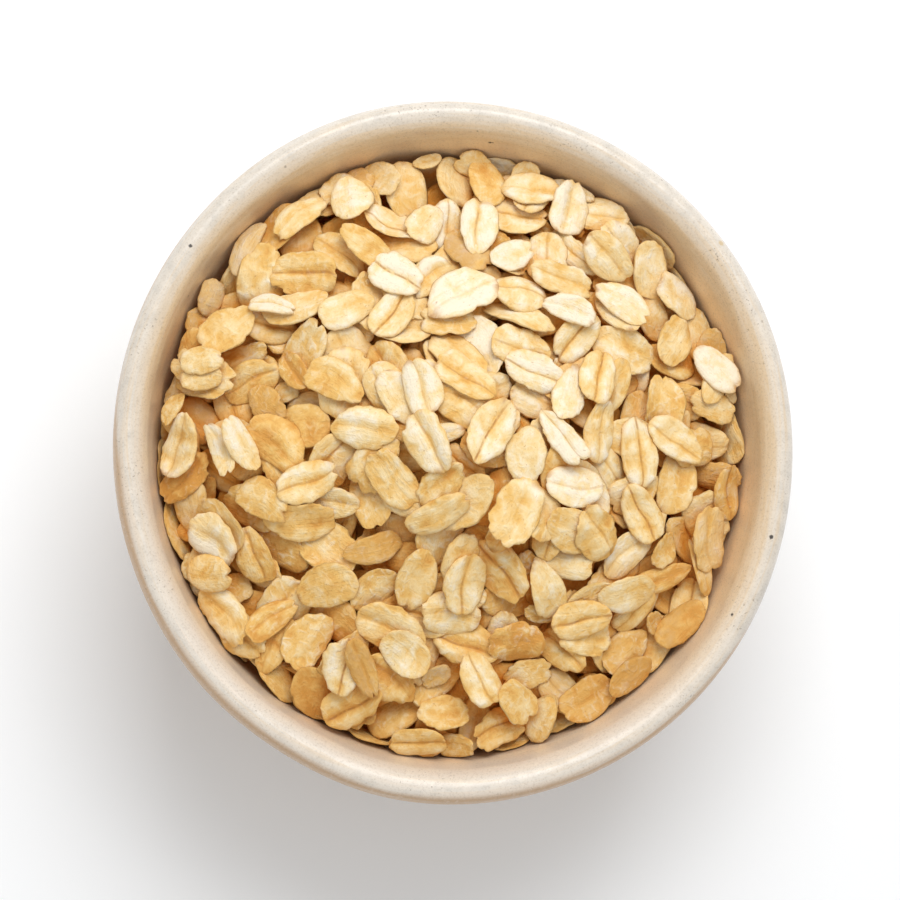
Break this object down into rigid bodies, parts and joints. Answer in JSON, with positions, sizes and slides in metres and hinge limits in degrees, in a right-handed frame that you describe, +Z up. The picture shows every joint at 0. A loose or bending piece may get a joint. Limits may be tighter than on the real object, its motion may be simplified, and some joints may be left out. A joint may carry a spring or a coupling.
{
  "type": "bowl of rolled oats",
  "caption": "Small hand-thrown stoneware bowl with a broad rounded lip, heaped above its rim with dry rolled oats.",
  "frame": {"origin": "middle of the foot ring, on the surface the bowl stands on", "axes": "+Z is up; +Y is along the longer way of the slightly oval rim, +X along the shorter"},
  "size_m": [0.123, 0.127, 0.0653],
  "materials": {
    "bowl_glaze": "satin",
    "oat_flakes": "matte"
  },
  "bodies": {
    "root": {"bowl": "bowl_glaze", "oats": "oat_flakes"}
  },
  "joints": []
}
